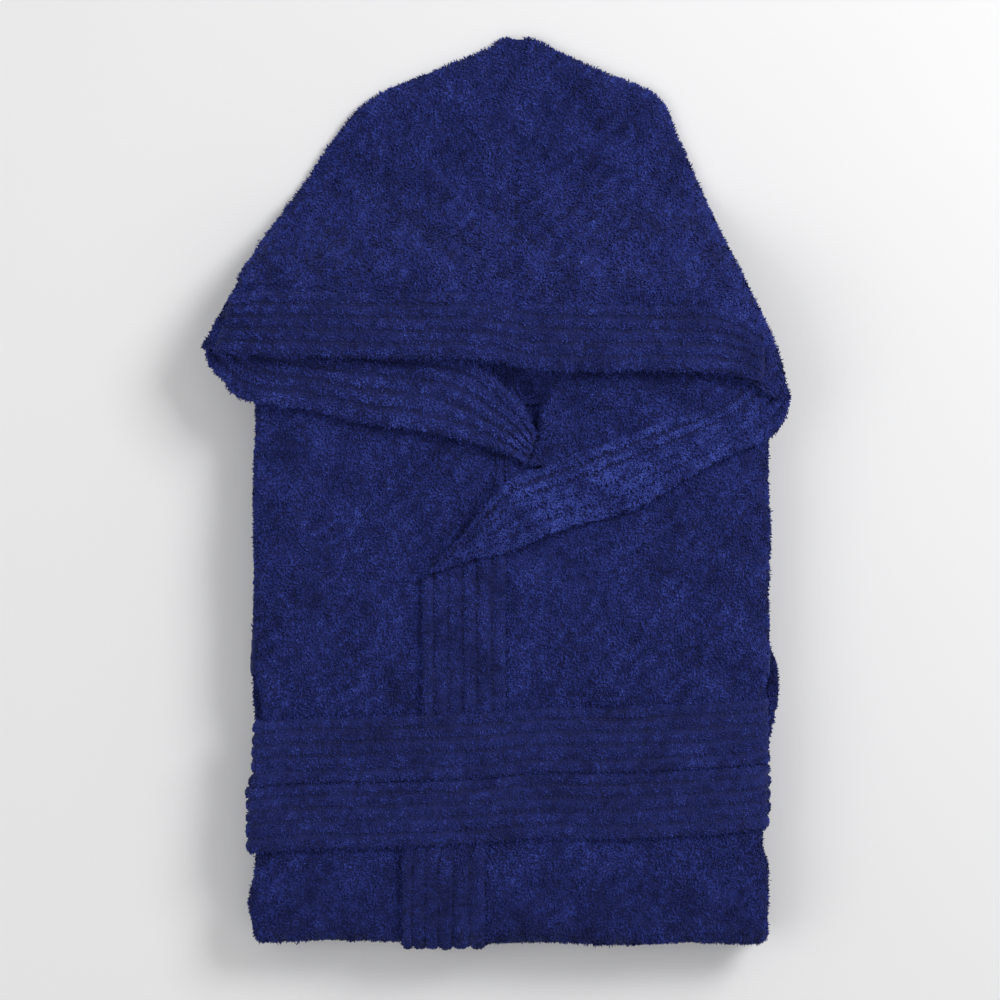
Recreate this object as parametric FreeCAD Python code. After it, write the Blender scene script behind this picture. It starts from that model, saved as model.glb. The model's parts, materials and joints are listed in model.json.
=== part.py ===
import FreeCAD, Part
import math
import os

# A hooded terry bathrobe, folded flat and lying face up with its belt wound round it.
# Millimetres. +Z is up, +Y runs from the bottom fold to the tip of the hood and +X is
# to the right as one looks down on the robe. The origin is the middle of the
# footprint, on the surface that the robe lies on. "Left" and "right" in the names of
# the pieces are the wearer's, so the left front is on the +X side.
#
# How it is folded: the sides go behind, which makes one long strip of five cloths
# (front over front, back, back flap, front flap). The strip is then laid in three
# runs, one under the other, with one fold at the bottom edge and one at the shoulders.
# The belt goes twice round the upper two runs. The sleeves lie behind everything.

# ---- sizes that can be set ----
overall_length = 634.0          # bottom fold to the tip of the hood
hood_width = 408.0              # across the corners of the hood opening
robe_width = 361.0              # folded body, side to side
robe_shift = 11.0               # the body's middle lies this far right of the hood's
robe_length = 430.0             # folded body, bottom fold to shoulders
second_fold_short = 53.0        # second fold, short of the shoulders
hem_short = 5.0                 # hem of the skirt, short of the bottom fold
cloth = 2.2                     # terry cloth, one layer
flap_width = 118.0              # sides folded behind
inner_gap = 3.0                 # between the first and the second run
outer_gap = 6.6                 # between the second and the third run
band_width = 58.0               # stitched band down the fronts and round the hood
front_lap = 50.5                # left front's edge, left of the hood's middle
under_lap = 58.0                # right front's edge, right of the hood's middle
collar_band = 2.4               # thickness of the band round the neck, turned back
collar_width = 47.0
hood_cloth = 2.4                # hood, one layer with its inner band
hood_mouth = 9.0                # clear height of the hood just inside its brim
hood_nip = 0.8                  # clear height at the tip
neck_drop = 51.0                # from the shoulders to the line that the hood folds about
left_corner_rise = 2.0          # hood corner at the left front, past the neck line
right_corner_rise = 39.0        # hood corner at the right front, past the neck line
brim_rise = 37.0                # right end of the brim, past the neck line
brim_fall = 18.0                # the brim drops this much towards its left end
peak_x = 18.0                   # the tip of the hood leans this far right
belt_width = 45.0
belt_cloth = 2.6
belt_rise = 15.0                # each pass climbs this much from left to right
belt_above_fold = 66.0          # lower pass at its left end, from the bottom fold
belt_tail = 150.0               # each end tucked under
pocket_width = 165.0
pocket_from_band = 80.0         # the rest of the pocket wraps behind
pocket_cloth = 2.0
pocket_hem = 35.0
pocket_above_belt = 17.0        # pocket's opening, from the belt's upper edge
pocket_from_fold = 5.0          # pocket's foot, from the second fold
sleeve_length = 240.0           # armhole to cuff, as it lies
cuff_length = 60.0
sleeve_apart = 17.0             # between the two sleeves at the top
sleeve_end_width = 150.0
sleeve_out = 6.0                # sleeve peeps out beyond the folded side
sleeve_drop = 18.0              # armhole's top, from the shoulders
loop_width = 9.0                # belt loops and hanging loop
loop_cloth = 1.6
belt_loop_length = 62.0
hanger_length = 84.0
clearance = 0.3                 # between pieces that move against each other

# ---- worked out ----
strip = 5 * cloth
body_left = robe_shift - robe_width / 2
body_right = robe_shift + robe_width / 2
bottom_y = -overall_length / 2
shoulder_y = bottom_y + robe_length
sleeve_cloth = 2 * cloth
lowest_run = sleeve_cloth + clearance
body_top = lowest_run + 3 * strip + outer_gap + inner_gap
fold_1_y = bottom_y + strip + inner_gap / 2
fold_1_z = body_top - strip - inner_gap / 2
fold_2_y = shoulder_y - second_fold_short - strip - outer_gap / 2
fold_2_z = fold_1_z - strip - inner_gap / 2 - outer_gap / 2
hem_y = bottom_y + hem_short
peak_y = overall_length / 2
band_seam_x = -front_lap + band_width
under_seam_x = under_lap - band_width
neck_line_y = shoulder_y - neck_drop
left_corner_y = neck_line_y + left_corner_rise
right_corner_y = neck_line_y + right_corner_rise
belt_low_y = bottom_y + belt_above_fold
pocket_top_y = belt_low_y + 2 * belt_width + belt_rise + pocket_above_belt
pocket_hem_y = pocket_top_y + pocket_hem
pocket_end_y = fold_2_y - pocket_from_fold
sleeve_top_y = shoulder_y - sleeve_drop
sleeve_top_width = robe_width / 2 + sleeve_out - sleeve_apart / 2


def box(x0, x1, y0, y1, z0, z1):
    """Block between two corners."""
    return Part.makeBox(x1 - x0, y1 - y0, z1 - z0, FreeCAD.Vector(x0, y0, z0))


def prism(outline, z0, z1):
    """Flat outline in X and Y, straight edges, raised from z0 to z1."""
    points = [FreeCAD.Vector(x, y, z0) for x, y in outline]
    face = Part.Face(Part.makePolygon(points + points[:1]))
    return face.extrude(FreeCAD.Vector(0, 0, z1 - z0))


def one_solid(shape):
    """The single solid inside a boolean's result."""
    shape = shape.removeSplitter()
    return shape.Solids[0] if len(shape.Solids) == 1 else shape


def joined(first, *others):
    return one_solid(first.fuse(list(others)))


def three_runs(depth_0, depth_1, x0, x1):
    """Cloth that follows the whole zigzag, between two depths under the robe's face.

    Depth 0 is the outer face of the fronts. Round the bottom fold that face is the
    outermost one, and round the shoulder fold it is the innermost one.
    """
    def path(depth):
        around_1 = strip - depth + inner_gap / 2
        around_2 = depth + outer_gap / 2
        corners = [(shoulder_y, fold_1_z + around_1),
                   (fold_1_y, fold_1_z + around_1),
                   (fold_1_y - around_1, fold_1_z),
                   (fold_1_y, fold_1_z - around_1),
                   (fold_2_y, fold_2_z + around_2),
                   (fold_2_y + around_2, fold_2_z),
                   (fold_2_y, fold_2_z - around_2),
                   (hem_y, fold_2_z - around_2)]
        p = [FreeCAD.Vector(x0, y, z) for y, z in corners]
        return [Part.LineSegment(p[0], p[1]), Part.Arc(p[1], p[2], p[3]),
                Part.LineSegment(p[3], p[4]), Part.Arc(p[4], p[5], p[6]),
                Part.LineSegment(p[6], p[7])]

    outer, inner = path(depth_0), path(depth_1)
    ends = [Part.LineSegment(outer[-1].EndPoint, inner[-1].EndPoint),
            Part.LineSegment(inner[0].StartPoint, outer[0].StartPoint)]
    edges = [curve.toShape() for curve in outer + inner + ends]
    wire = Part.Wire(Part.__sortEdges__(edges))
    return Part.Face(wire).extrude(FreeCAD.Vector(x1 - x0, 0, 0))


def front_panel(face_depth, seam_x, edge_x):
    """A front: its face, the turn at the side and the flap behind."""
    inward = cloth if edge_x < seam_x else -cloth
    behind = edge_x + flap_width * (1 if inward > 0 else -1)
    face = three_runs(face_depth, face_depth + cloth, *sorted((seam_x, edge_x)))
    side = three_runs(face_depth, strip, *sorted((edge_x, edge_x + inward)))
    flap = three_runs(strip - cloth, strip, *sorted((edge_x, behind)))
    return joined(face, side, flap)


def back_panel():
    """The back: one width of cloth under both fronts, with a flap at each side."""
    left, right = body_left + cloth, body_right - cloth
    parts = [three_runs(2 * cloth, 4 * cloth, left, left + cloth),
             three_runs(2 * cloth, 4 * cloth, right - cloth, right),
             three_runs(3 * cloth, 4 * cloth, left, body_left + flap_width),
             three_runs(3 * cloth, 4 * cloth, body_right - flap_width, right)]
    return joined(three_runs(2 * cloth, 3 * cloth, left, right), *parts)


def second_run_z(depth):
    """Height of a depth in the second run, where the fronts face down."""
    return fold_2_z + outer_gap / 2 + depth


def pocket_slice(face_depth, face_x, edge_x, outward, y0, y1):
    """A patch pocket on the second run, wrapped round the folded side."""
    front_z = second_run_z(face_depth)
    back_z = second_run_z(strip)
    outer_x = edge_x + outward * pocket_cloth
    wrap_x = edge_x - outward * (pocket_width - abs(edge_x - face_x))
    face = box(*sorted((face_x, outer_x)), y0, y1, front_z - pocket_cloth, front_z)
    turn = box(*sorted((edge_x, outer_x)), y0, y1, front_z - pocket_cloth,
               back_z + pocket_cloth)
    wrap = box(*sorted((wrap_x, outer_x)), y0, y1, back_z, back_z + pocket_cloth)
    return joined(face, turn, wrap)


def neck_prism(outline, z0, z1):
    """Prism whose plan is given past the neck line in Y."""
    return prism([(x, neck_line_y + y) for x, y in outline], z0, z1)


def left_collar():
    """The left front's band turned back over the chest, up to the hood's corner."""
    corner = hood_width / 2
    return neck_prism([(-front_lap + 5, -114), (-19, -89), (0, -61), (17, -49),
                       (47, -39), (104, -18), (158, -1), (corner - 1, -1),
                       (body_right, -26), (132, -53), (101, -72), (55, -85),
                       (8, -104), (-front_lap + 20, -115)],
                      body_top, body_top + collar_band)


def right_collar():
    """The right front's band, seen from inside, from the hood's corner to the neck."""
    corner = -hood_width / 2
    outline = [(corner + 2, right_corner_rise - 8), (corner + 14, 6), (body_left, 0),
               (-96, -12), (-27, -25), (10, -36), (17, -32), (27, -4),
               (-52, collar_width / 2 - 4), (corner + 10, right_corner_rise)]
    upper = neck_prism(outline, body_top, body_top + collar_band)
    lower = neck_prism(outline, body_top - cloth, body_top + collar_band)
    beside_lap = box(2 * corner, -front_lap - clearance, -overall_length,
                     overall_length, body_top - cloth, body_top + collar_band)
    return joined(upper, lower.common(beside_lap))


def neck_facing():
    """Half-moon inside the back neck, between the two collars."""
    return neck_prism([(32, -1), (34, -14), (40, -32), (50, -36.5), (100, -18),
                       (150, -1)], body_top, body_top + collar_band)


# ---- hood ----
# Side view of the hood: it lies flat on the body as far as the shoulders, then
# comes down to the surface in half a cosine wave.
lower_z = body_top + clearance
upper_z = lower_z + hood_cloth + hood_mouth
hood_top = upper_z + hood_cloth


def wave(y, y0, y1, z0, z1):
    """Half a cosine wave from z0 before y0 to z1 after y1."""
    share = min(max((y - y0) / (y1 - y0), 0.0), 1.0)
    return z1 + (z0 - z1) * (1 + math.cos(math.pi * share)) / 2


lower_wave = (shoulder_y + 8, shoulder_y + 100, lower_z, 0.0)
upper_wave = (shoulder_y + 12, shoulder_y + 115, upper_z, hood_cloth + hood_nip)


def profile_line(spec, lift):
    """The side view's curve from the mouth to past the tip, raised by lift."""
    y0, y1, z0, z1 = spec
    steps = 14
    ys = [y0 + (y1 - y0) * i / steps for i in range(steps + 1)]
    points = [FreeCAD.Vector(0, y, wave(y, *spec) + lift) for y in ys]
    curve = Part.BSplineCurve()
    flat = FreeCAD.Vector(0, 1, 0)
    curve.interpolate(Points=points, InitialTangent=flat, FinalTangent=flat)
    start = FreeCAD.Vector(0, -overall_length, z0 + lift)
    end = FreeCAD.Vector(0, overall_length, z1 + lift)
    return [Part.LineSegment(start, points[0]), curve,
            Part.LineSegment(points[-1], end)]


def between(lower, lower_lift, upper, upper_lift):
    """Solid between two side-view curves, as wide as the hood and more."""
    below = profile_line(lower, lower_lift)
    above = profile_line(upper, upper_lift)
    ends = [Part.LineSegment(below[0].StartPoint, above[0].StartPoint),
            Part.LineSegment(below[-1].EndPoint, above[-1].EndPoint)]
    edges = [curve.toShape() for curve in below + above + ends]
    face = Part.Face(Part.Wire(Part.__sortEdges__(edges)))
    face.translate(FreeCAD.Vector(-hood_width, 0, 0))
    return face.extrude(FreeCAD.Vector(2 * hood_width, 0, 0))


# Shares of the way from the corner of the opening to the tip, across and up.
right_side_shape = [(0.073, 0.136), (0.158, 0.286), (0.35, 0.557), (0.556, 0.80),
                    (0.745, 0.882), (0.92, 0.97)]
left_side_shape = [(0.038, 0.141), (0.133, 0.292), (0.249, 0.464), (0.418, 0.726),
                   (0.505, 0.836), (0.70, 0.903), (0.87, 0.959)]


def hood_outline(inset):
    """Plan of the hood: up one side, over the tip and down the other."""
    half = hood_width / 2 - inset
    tip = FreeCAD.Vector(peak_x, peak_y - inset, 0)

    def side(corner_x, corner_y, shape):
        across, up = tip.x - corner_x, tip.y - corner_y
        return [FreeCAD.Vector(corner_x + u * across, corner_y + v * up, 0)
                for u, v in [(0.0, 0.0)] + shape]

    right = side(-half, right_corner_y, right_side_shape)
    left = side(half, left_corner_y, left_side_shape)
    level = FreeCAD.Vector(1, 0, 0)
    rising = FreeCAD.Vector(0.35, 1, 0)
    falling = FreeCAD.Vector(0.05, -1, 0)
    up_right = Part.BSplineCurve()
    up_right.interpolate(Points=right + [tip], InitialTangent=rising, FinalTangent=level)
    down_left = Part.BSplineCurve()
    down_left.interpolate(Points=[tip] + left[::-1], InitialTangent=level,
                          FinalTangent=falling)
    mouth = Part.makePolygon([left[0], FreeCAD.Vector(half, -overall_length, 0),
                              FreeCAD.Vector(-half, -overall_length, 0), right[0]])
    edges = [up_right.toShape(), down_left.toShape()] + mouth.Edges
    face = Part.Face(Part.Wire(Part.__sortEdges__(edges)))
    return face.extrude(FreeCAD.Vector(0, 0, 2 * hood_top))


def hood_parts():
    """Both halves of the hood and the band on its brim.

    The bag is the space inside the plan and the side view, less the same space one
    cloth in. It is cut along the centre seam, and along the seam of the band.
    """
    bag = between(lower_wave, 0, upper_wave, hood_cloth).common(hood_outline(0))
    room = between(lower_wave, hood_cloth, upper_wave, 0)
    bag = bag.cut(room.common(hood_outline(hood_cloth)))

    wide = hood_width
    half = hood_width / 2
    brim_fall_rate = brim_fall / (hood_width - 28)

    def brim_line(rise):
        """Y at both far ends of a line along the brim, rise behind its edge."""
        middle = neck_line_y + brim_rise - brim_fall / 2 + rise
        return middle + wide * brim_fall_rate, middle - wide * brim_fall_rate

    def behind(rise_right, rise_left):
        return [(-wide, brim_line(rise_right)[0]), (wide, brim_line(rise_left)[1])]

    behind_brim = prism(behind(0, 0) + [(wide, wide), (-wide, wide)], -1, 2 * hood_top)
    under_edge = [(-wide, right_corner_rise + 10), (10 - half, right_corner_rise + 1),
                  (-52, collar_width / 2 - 2), (29, 0), (wide, 0), (wide, wide),
                  (-wide, wide)]
    behind_collar = neck_prism(under_edge, -1, 2 * hood_top)
    mid_room = lower_z + hood_cloth + hood_mouth / 2
    flat_part = shoulder_y + 5
    top_front = box(-wide, wide, -wide, flat_part, mid_room, 2 * hood_top)
    low_front = box(-wide, wide, -wide, flat_part, -1, mid_room)
    rear = box(-wide, wide, flat_part, wide, -1, 2 * hood_top)
    keep = top_front.common(behind_brim).fuse([low_front.common(behind_collar), rear])
    bag = bag.common(keep)

    behind_seam = behind(band_width * 0.8, band_width * 0.8)
    band_zone = prism([(-wide, -wide), (wide, -wide)] + behind_seam[::-1], mid_room,
                      2 * hood_top)
    band_zone = band_zone.common(box(22 - half, half - 16, -wide, wide, mid_room,
                                     2 * hood_top))
    band_zone = band_zone.common(between(upper_wave, -hood_nip, upper_wave, wide))
    band = one_solid(bag.common(band_zone))
    rest = bag.cut(band_zone)
    seam_x = robe_shift + 1
    right = one_solid(rest.common(box(-wide, seam_x, -wide, wide, -1, 2 * hood_top)))
    left = one_solid(rest.common(box(seam_x, wide, -wide, wide, -1, 2 * hood_top)))
    return left, right, band


def belt():
    """Two turns round the upper two runs, with both ends tucked under them."""
    reach_l = body_left - clearance
    reach_r = body_right + clearance
    out_l, out_r = reach_l - belt_cloth, reach_r + belt_cloth
    over = body_top + clearance
    under = second_run_z(0) - clearance
    low_under = under - belt_cloth
    apart = clearance
    low = [belt_low_y, belt_low_y + belt_width]
    high = [low[1] + apart, low[1] + apart + belt_width]

    def pass_between(y_left, y_right, z0, x0=out_l, x1=out_r):
        outline = [(x0, y_left[0]), (x1, y_right[0]), (x1, y_right[1]), (x0, y_left[1])]
        return prism(outline, z0, z0 + belt_cloth)

    def side(x0, x1, ys, z0):
        return box(x0, x1, *ys, z0, over + belt_cloth)

    high_r = [y + belt_rise for y in high]
    low_r = [y + belt_rise for y in low]
    shelf = low_under - belt_cloth
    parts = [pass_between(low, low_r, over),
             side(out_l, reach_l, high, shelf),
             side(reach_r, out_r, high_r, low_under),
             pass_between(low, high_r, low_under),
             side(out_l, reach_l, low, low_under),
             side(reach_r, out_r, low_r, shelf),
             pass_between(high, high, shelf, out_l, out_l + belt_tail),
             pass_between(low_r, low_r, shelf, out_r - belt_tail, out_r)]
    return joined(pass_between(high, high_r, over), *parts)


def sleeve(outward, edge_x):
    """A flattened sleeve and its cuff, side by side along Y."""
    outer_x = edge_x + outward * sleeve_out
    inner_top = outer_x - outward * sleeve_top_width
    inner_end = outer_x - outward * sleeve_end_width
    cuff_y = sleeve_top_y - sleeve_length
    end_y = cuff_y - cuff_length
    arm = prism([(outer_x, sleeve_top_y), (outer_x, cuff_y), (inner_end, cuff_y),
                 (inner_top, sleeve_top_y)], 0, sleeve_cloth)
    cuff = prism([(outer_x, cuff_y), (outer_x, end_y), (inner_end, end_y),
                  (inner_end, cuff_y)], 0, sleeve_cloth)
    return arm, cuff


def belt_loop(edge_x, inward):
    """A strip sewn flat at the waist, on the side seam behind the first run."""
    x0, x1 = sorted((edge_x + inward * (flap_width - loop_width),
                     edge_x + inward * flap_width))
    z = fold_1_z + inner_gap / 2
    y1 = belt_low_y + belt_width + belt_loop_length / 2
    return box(x0, x1, y1 - belt_loop_length, y1, z - loop_cloth, z)


def hanging_loop():
    """A strip sewn flat at both ends, on the neck facing."""
    z = body_top + collar_band
    return box(44, 44 + hanger_length, neck_line_y - 3 - loop_width, neck_line_y - 3,
               z, z + loop_cloth)


nodes = {}
nodes["back_panel"] = back_panel()
nodes["left_front_panel"] = front_panel(0, band_seam_x, body_right)
nodes["right_front_panel"] = front_panel(cloth, under_seam_x, body_left)
nodes["left_front_band"] = three_runs(0, cloth, -front_lap, band_seam_x)
nodes["right_front_band"] = three_runs(cloth, 2 * cloth, under_seam_x, under_lap)
nodes["left_collar_band"] = left_collar()
nodes["right_collar_band"] = right_collar()
nodes["neck_facing"] = neck_facing()
nodes["hanging_loop"] = hanging_loop()

hood_left, hood_right, hood_band = hood_parts()
nodes["hood_left_half"] = hood_left
nodes["hood_right_half"] = hood_right
nodes["hood_band"] = hood_band
nodes["belt"] = belt()

sides = (("left", 0, band_seam_x + pocket_from_band, body_right, 1),
         ("right", cloth, under_seam_x - pocket_from_band, body_left, -1))
for name, face_depth, pocket_x, edge_x, outward in sides:
    place = (face_depth, pocket_x, edge_x, outward)
    nodes[name + "_pocket"] = pocket_slice(*place, pocket_hem_y, pocket_end_y)
    nodes[name + "_pocket_band"] = pocket_slice(*place, pocket_top_y, pocket_hem_y)
    nodes[name + "_belt_loop"] = belt_loop(edge_x, -outward)
    arm, cuff = sleeve(outward, edge_x)
    nodes[name + "_sleeve"] = arm
    nodes[name + "_cuff"] = cuff

os.makedirs("parts", exist_ok=True)
whole = Part.makeCompound(list(nodes.values()))
for name, shape in nodes.items():
    shape.exportStep("parts/" + name + ".step")
    b = shape.BoundBox
    print(f"{name:20s} {shape.ShapeType:9s} solids {len(shape.Solids)} "
          f"valid {shape.isValid()} volume {shape.Volume:11.0f} "
          f"x {b.XMin:7.1f} {b.XMax:7.1f} y {b.YMin:7.1f} {b.YMax:7.1f} "
          f"z {b.ZMin:6.2f} {b.ZMax:6.2f}")
b = whole.BoundBox
print(f"whole x {b.XMin:.2f} {b.XMax:.2f} y {b.YMin:.2f} {b.YMax:.2f} "
      f"z {b.ZMin:.2f} {b.ZMax:.2f}")
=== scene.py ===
import json
import math

import bpy
import numpy as np
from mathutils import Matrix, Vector

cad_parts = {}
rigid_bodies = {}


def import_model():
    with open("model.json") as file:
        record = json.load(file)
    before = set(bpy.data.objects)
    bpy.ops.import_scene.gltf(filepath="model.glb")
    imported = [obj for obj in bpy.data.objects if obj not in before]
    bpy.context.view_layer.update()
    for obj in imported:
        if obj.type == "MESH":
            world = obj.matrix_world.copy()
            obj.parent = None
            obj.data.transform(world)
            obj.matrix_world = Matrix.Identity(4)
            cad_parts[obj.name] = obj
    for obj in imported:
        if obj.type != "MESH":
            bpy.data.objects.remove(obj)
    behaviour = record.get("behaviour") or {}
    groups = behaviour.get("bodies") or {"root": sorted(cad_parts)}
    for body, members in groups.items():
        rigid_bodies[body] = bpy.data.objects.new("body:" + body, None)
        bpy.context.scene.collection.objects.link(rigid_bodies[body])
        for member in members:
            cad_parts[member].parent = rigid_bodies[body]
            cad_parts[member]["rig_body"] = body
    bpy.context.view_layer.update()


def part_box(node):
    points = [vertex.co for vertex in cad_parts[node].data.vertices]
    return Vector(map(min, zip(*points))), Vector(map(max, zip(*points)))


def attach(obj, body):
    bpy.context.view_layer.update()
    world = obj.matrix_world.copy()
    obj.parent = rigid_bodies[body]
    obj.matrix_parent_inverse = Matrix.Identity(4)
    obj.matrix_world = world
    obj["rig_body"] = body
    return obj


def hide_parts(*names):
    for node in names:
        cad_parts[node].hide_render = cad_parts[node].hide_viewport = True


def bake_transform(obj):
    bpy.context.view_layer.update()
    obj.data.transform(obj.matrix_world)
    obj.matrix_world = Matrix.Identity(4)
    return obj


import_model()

# A folded, hooded terry bathrobe with its belt wound round it. Lengths are
# millimetres in the robe's frame until a mesh is made: X to the wearer's left, Y to
# the tip of the hood, Z up from the surface that the robe lies on.

MM = 0.001


def box_mm(node):
    """Low and high corners of a CAD node's box."""
    low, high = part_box(node)
    return np.array(low) / MM, np.array(high) / MM


# ---- sizes taken from the frame ----
left_low, left_high = box_mm("left_front_panel")
band_low, band_high = box_mm("left_front_band")
belt_low, belt_high = box_mm("belt")
body_left, body_right = box_mm("right_front_panel")[0][0], left_high[0]
bottom_y, shoulder_y, body_top = left_low[1], left_high[1], left_high[2]
lap_x, band_seam_x = band_low[0], band_high[0]
body_mid = (body_left + body_right) / 2
body_half = (body_right - body_left) / 2
neck_y = box_mm("hood_left_half")[0][1]

# ---- sizes of the cloth and of how it is folded ----
cloth = 2.2  # one layer of towelling
strip = 5 * cloth  # five layers, which fold together as one strip
inner_gap = 3.0  # between the first and second runs of the strip
outer_gap = 6.6  # between its second and third runs
second_fold_short = 53.0  # from the shoulder down to the second fold
hem_short = 5.0
flap_width = 118.0
band_width = band_seam_x - lap_x
belt_width = 45.0
belt_rise = 15.0  # how much higher the belt lies at the wearer's left
belt_tail = 150.0
stitch_pitch = 3.4

fold_1_y = bottom_y + strip + inner_gap / 2
fold_1_z = body_top - strip - inner_gap / 2
fold_2_y = shoulder_y - second_fold_short - strip - outer_gap / 2
fold_2_z = fold_1_z - strip - (inner_gap + outer_gap) / 2
hem_y = bottom_y + hem_short
run_1 = shoulder_y - fold_1_y
run_2 = fold_2_y - fold_1_y
run_3 = fold_2_y - hem_y
turn_1 = math.pi * (strip / 2 + inner_gap / 2)
turn_2 = math.pi * (strip / 2 + outer_gap / 2)
stations = np.cumsum([0, run_1, turn_1, run_2, turn_2, run_3])


# ---- shapes ----
def ripple(x, y, wavelength, seed, waves=9):
    """Gentle unevenness from about -1 to 1: plane waves of nearly one length are added
    up, each in a direction and with a phase of its own."""
    rng = np.random.default_rng(seed)
    total = np.zeros(np.broadcast(x, y).shape)
    for _ in range(waves):
        angle, phase = rng.uniform(0, 2 * math.pi, 2)
        pitch = wavelength * rng.uniform(0.7, 1.5)
        along = x * math.cos(angle) + y * math.sin(angle)
        total += np.sin(2 * math.pi * along / pitch + phase)
    return total / math.sqrt(waves)


def smooth_step(x, start, end):
    """0 before start and 1 after end, with 3 t squared less 2 t cubed between."""
    t = np.clip((x - start) / (end - start), 0, 1)
    return t * t * (3 - 2 * t)


def soften(p, pit=True):
    """How the whole soft pile of cloth settles. Height is lost towards the side edges
    and the bottom fold, as the square of the way into a rim, and the edges wander. The
    open neck sinks in a rounded pit, which the collars and facing bridge. The belt
    draws the sides in by its squeeze. Below it the corner at the wearer's right
    slouches outwards, and the lap slips that way, each as a bell curve."""
    side_rim, foot_rim, side_drop, foot_drop = 42, 34, 4.0, 3.0
    pit_depth, squeeze, slouch_out, lap_slip = 13, 4.2, 6.5, 17
    x, y, z = p[..., 0], p[..., 1], p[..., 2]
    share = np.clip(z / body_top, 0, 1.3)
    side = np.clip((np.abs(x - body_mid) - (body_half - side_rim)) / side_rim, 0, 2.2)
    foot = np.clip((bottom_y + foot_rim - y) / foot_rim, 0, 1.2) * smooth_step(z, 14, 24)
    drop = side_drop * side ** 2 + foot_drop * foot ** 2
    on_body = 1 - smooth_step(y, shoulder_y, shoulder_y + 60)
    lift = 1.1 * ripple(x, y, 130, 3) * on_body * (1 - np.clip(side, 0, 1) * 0.6)
    z_new = z + share * (lift - drop)
    if pit:
        hollow = np.exp(-((x - 25) / 12.0) ** 2 - ((y - 68) / 19.0) ** 2)
        z_new -= pit_depth * hollow * smooth_step(z, 20, 46) * (1 - smooth_step(z, 51, 57))
    sway = ripple(y, z * 6, 95, 5) * 1.6 + ripple(y, z * 9, 28, 6) * 0.5
    calmer = 1 - 0.65 * smooth_step(y, neck_y, neck_y + 40)
    x_new = x + sway * calmer * np.clip(side, 0, 1) ** 2 * np.sign(x - body_mid)
    loosened = np.where(x < body_mid, 198, 248)
    girth = smooth_step(-y, 128, 150) - smooth_step(-y, loosened, loosened + 14)
    slouch = slouch_out * np.exp(-((y + 290) / 17) ** 2) * (x < body_mid)
    x_new -= slouch * np.clip(side, 0, 1) ** 2
    x_new -= lap_slip * smooth_step(-y, 205, 262) * np.exp(-((x + 20) / 70) ** 2)
    x_new -= squeeze * girth * np.clip(side, 0, 1) ** 2 * np.sign(x - body_mid)
    wander = ripple(x, z * 6, 90, 7) * 1.5 + ripple(x, z * 9, 24, 8) * 0.4
    y_new = y + wander * np.clip(foot, 0, 1) ** 2
    return np.stack([x_new, y_new, np.maximum(z_new, 0.2)], axis=-1)


def zigzag(s, depth):
    """Y and Z of a point s along the folded strip and depth under its outer face:
    three straight runs, joined by half circles whose radius grows or shrinks with
    depth."""
    radius_1 = strip - depth + inner_gap / 2
    radius_2 = depth + outer_gap / 2
    turn_a = math.pi * (s - stations[1]) / turn_1
    turn_b = math.pi * (s - stations[3]) / turn_2
    zone = [s < stations[1], s < stations[2], s < stations[3], s < stations[4]]
    y = np.select(zone, [shoulder_y - s, fold_1_y - radius_1 * np.sin(turn_a),
                         fold_1_y + s - stations[2],
                         fold_2_y + radius_2 * np.sin(turn_b)],
                  fold_2_y - (s - stations[4]))
    z = np.select(zone, [fold_1_z + radius_1, fold_1_z + radius_1 * np.cos(turn_a),
                         fold_1_z - radius_1, fold_2_z + radius_2 * np.cos(turn_b)],
                  fold_2_z - radius_2)
    return y, z


def run_stations(fine=4.0, coarse=14.0):
    """Stations along the strip: close together on the first run and round the folds."""
    spans = [(0, 1, fine), (1, 2, 2.2), (2, 3, coarse), (3, 4, 3.0), (4, 5, coarse)]
    parts = [np.linspace(stations[a], stations[b], max(int((stations[b] - stations[a]) / d), 3),
                         endpoint=False) for a, b, d in spans]
    return np.concatenate(parts + [stations[-1:]])


def distances(line):
    """How far along a line of points each of them is."""
    return np.concatenate([[0], np.cumsum(np.linalg.norm(np.diff(line, axis=0), axis=1))])


def read_off(at, along, values):
    """Rows of values known at the distances along, read off at other distances."""
    return np.stack([np.interp(at, along, column) for column in values.T], 1)


def through(points, count):
    """Smooth plan curve through a few points: a Catmull-Rom spline, evenly spaced."""
    p = np.array(points, float)
    p = np.vstack([2 * p[0] - p[1], p, 2 * p[-1] - p[-2]])
    t = np.linspace(0, len(points) - 1, 40 * len(points))
    i = np.minimum(t.astype(int), len(points) - 2)
    f = (t - i)[:, None]
    a, b, c, d = p[i], p[i + 1], p[i + 2], p[i + 3]
    curve = 0.5 * (2 * b + (c - a) * f + (2 * a - 5 * b + 4 * c - d) * f ** 2
                   + (3 * b - a - 3 * c + d) * f ** 3)
    along = distances(curve)
    return read_off(np.linspace(0, along[-1], count), along, curve)


def unit(v):
    """The same directions with length 1."""
    return v / np.maximum(np.linalg.norm(v, axis=-1, keepdims=True), 1e-9)


def grid_normals(p):
    """Normals of a grid of points, from the differences along both of its ways."""
    return unit(np.cross(np.gradient(p, axis=0), np.gradient(p, axis=1)))


def face_up(mid, row=3):
    """The grid, turned over if its topmost part in that row has its face downwards."""
    highest = int(np.argmax(mid[row, 2:-2, 2])) + 2
    return mid if grid_normals(mid)[row, highest, 2] > 0 else mid[:, ::-1]


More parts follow.
